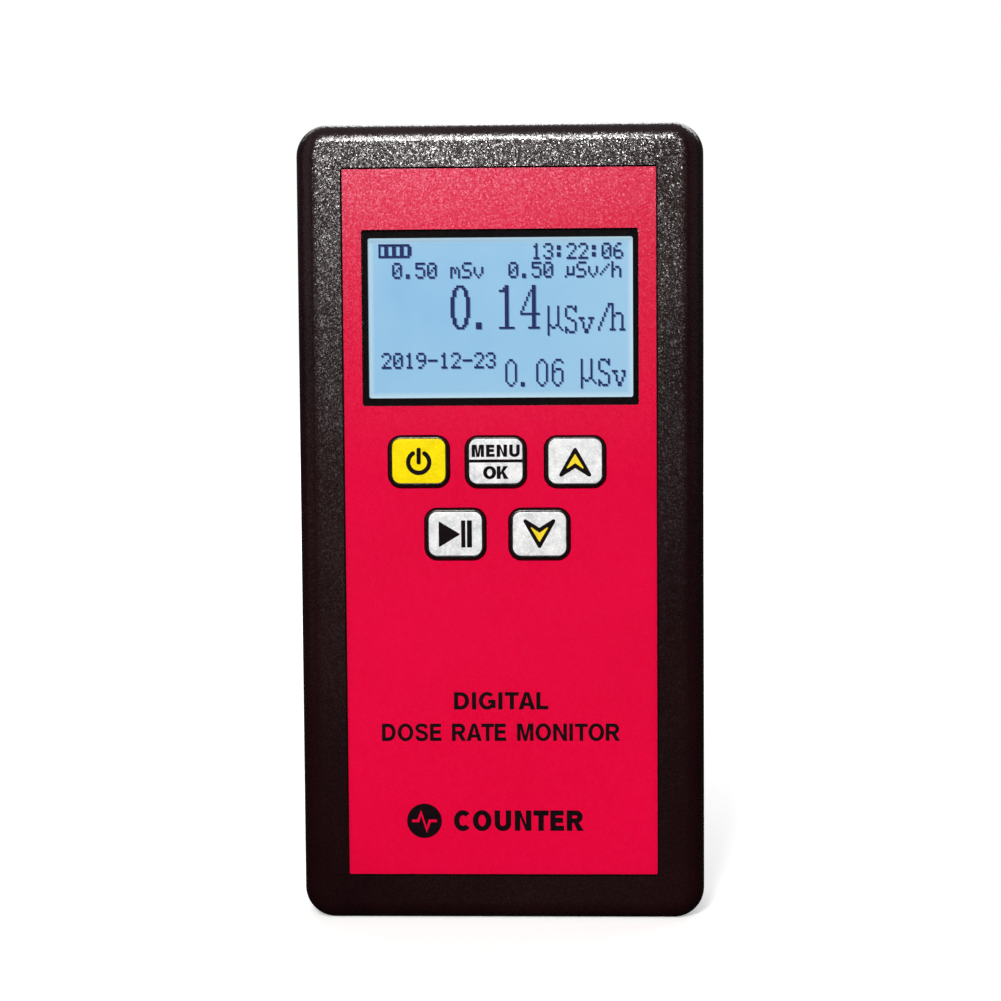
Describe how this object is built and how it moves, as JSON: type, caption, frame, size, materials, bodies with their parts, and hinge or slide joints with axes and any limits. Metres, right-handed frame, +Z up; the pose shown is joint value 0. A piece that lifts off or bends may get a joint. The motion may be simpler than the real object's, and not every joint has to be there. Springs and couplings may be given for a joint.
{
  "type": "geiger counter",
  "caption": "Handheld radiation monitor with a rounded two-part case, recessed front label, backlit display, small pressable keys and a hinged battery door at the back.",
  "frame": {"origin": "middle of the flat lower end of the case, on the surface it stands on", "axes": "+Z up along the length of the case, +Y towards the back (the display faces -Y), +X to the right seen from the front"},
  "size_m": [0.076, 0.028, 0.15],
  "materials": {
    "case_plastic": "spark-eroded texture",
    "label_film": "velvet polycarbonate",
    "window_clear": "clear",
    "key_plastic": "satin",
    "key_yellow": "satin",
    "black_plastic": "smooth",
    "foam": "foam",
    "adhesive": "film",
    "screw_steel": "zinc-plated",
    "pcb_green": "solder mask",
    "lcd_cell": "polarised",
    "backlight_white": "diffuse white",
    "polyimide": "film",
    "tinned": "tinned",
    "tube_glass": "clear",
    "cathode_metal": "dark film",
    "copper_wire": "enamelled",
    "ferrite": "sintered",
    "epoxy": "dipped",
    "capacitor_sleeve": "can",
    "cell_wrap": "shrink sleeve",
    "spring_steel": "nickel plated",
    "lead_red": "insulation",
    "lead_black": "insulation",
    "white_plastic": "moulded"
  },
  "bodies": {
    "case": {"front_case": "case_plastic", "rear_case": "case_plastic", "case_screws": "screw_steel", "pcb_screws": "screw_steel", "front_label": "label_film", "display_window": "window_clear", "window_adhesive": "adhesive", "lcd_gasket": "foam", "lcd_frame": "black_plastic", "lcd_polariser": "lcd_cell", "lcd_glass": "lcd_cell", "lcd_driver_chip": "ferrite", "lcd_backlight": "backlight_white", "lcd_flex": "polyimide", "tact_switches": "black_plastic", "main_pcb": "pcb_green", "mcu_chip": "black_plastic", "mcu_pins": "tinned", "memory_chip": "black_plastic", "small_parts": "epoxy", "clock_crystal": "tinned", "main_crystal": "tinned", "filter_capacitors": "capacitor_sleeve", "hv_inductor_core": "ferrite", "hv_inductor_coil": "copper_wire", "hv_capacitors": "epoxy", "hv_diodes": "black_plastic", "hv_resistors": "epoxy", "coin_holder": "black_plastic", "coin_cell": "tinned", "buzzer": "black_plastic", "gm_tube_glass": "tube_glass", "gm_cathode": "cathode_metal", "gm_anode": "spring_steel", "gm_end_caps": "tinned", "tube_clips": "spring_steel", "batteries": "cell_wrap", "battery_contacts": "spring_steel", "battery_springs": "spring_steel", "battery_connector": "white_plastic", "lead_black": "lead_black", "lead_red": "lead_red"},
    "door": {"battery_door": "case_plastic"},
    "key_power_body": {"key_power": "key_yellow", "plunger_power": "black_plastic"},
    "key_menu_body": {"key_menu": "key_plastic", "plunger_menu": "black_plastic"},
    "key_up_body": {"key_up": "key_plastic", "plunger_up": "black_plastic"},
    "key_play_body": {"key_play": "key_plastic", "plunger_play": "black_plastic"},
    "key_down_body": {"key_down": "key_plastic", "plunger_down": "black_plastic"}
  },
  "joints": [
    {"name": "battery_door_hinge", "type": "hinge", "parent": "case", "child": "door", "pos_m": [0, 0.014, 0.0117], "axis": [-1, 0, 0], "range_deg": [0, 80]},
    {"name": "key_power_press", "type": "slide", "parent": "case", "child": "key_power_body", "axis": [0, 1, 0], "range_m": [0, 0.0004], "stiffness_N_per_m": 2500, "springref_m": -0.0002},
    {"name": "key_menu_press", "type": "slide", "parent": "case", "child": "key_menu_body", "axis": [0, 1, 0], "range_m": [0, 0.0004], "stiffness_N_per_m": 2500, "springref_m": -0.0002},
    {"name": "key_up_press", "type": "slide", "parent": "case", "child": "key_up_body", "axis": [0, 1, 0], "range_m": [0, 0.0004], "stiffness_N_per_m": 2500, "springref_m": -0.0002},
    {"name": "key_play_press", "type": "slide", "parent": "case", "child": "key_play_body", "axis": [0, 1, 0], "range_m": [0, 0.0004], "stiffness_N_per_m": 2500, "springref_m": -0.0002},
    {"name": "key_down_press", "type": "slide", "parent": "case", "child": "key_down_body", "axis": [0, 1, 0], "range_m": [0, 0.0004], "stiffness_N_per_m": 2500, "springref_m": -0.0002}
  ]
}
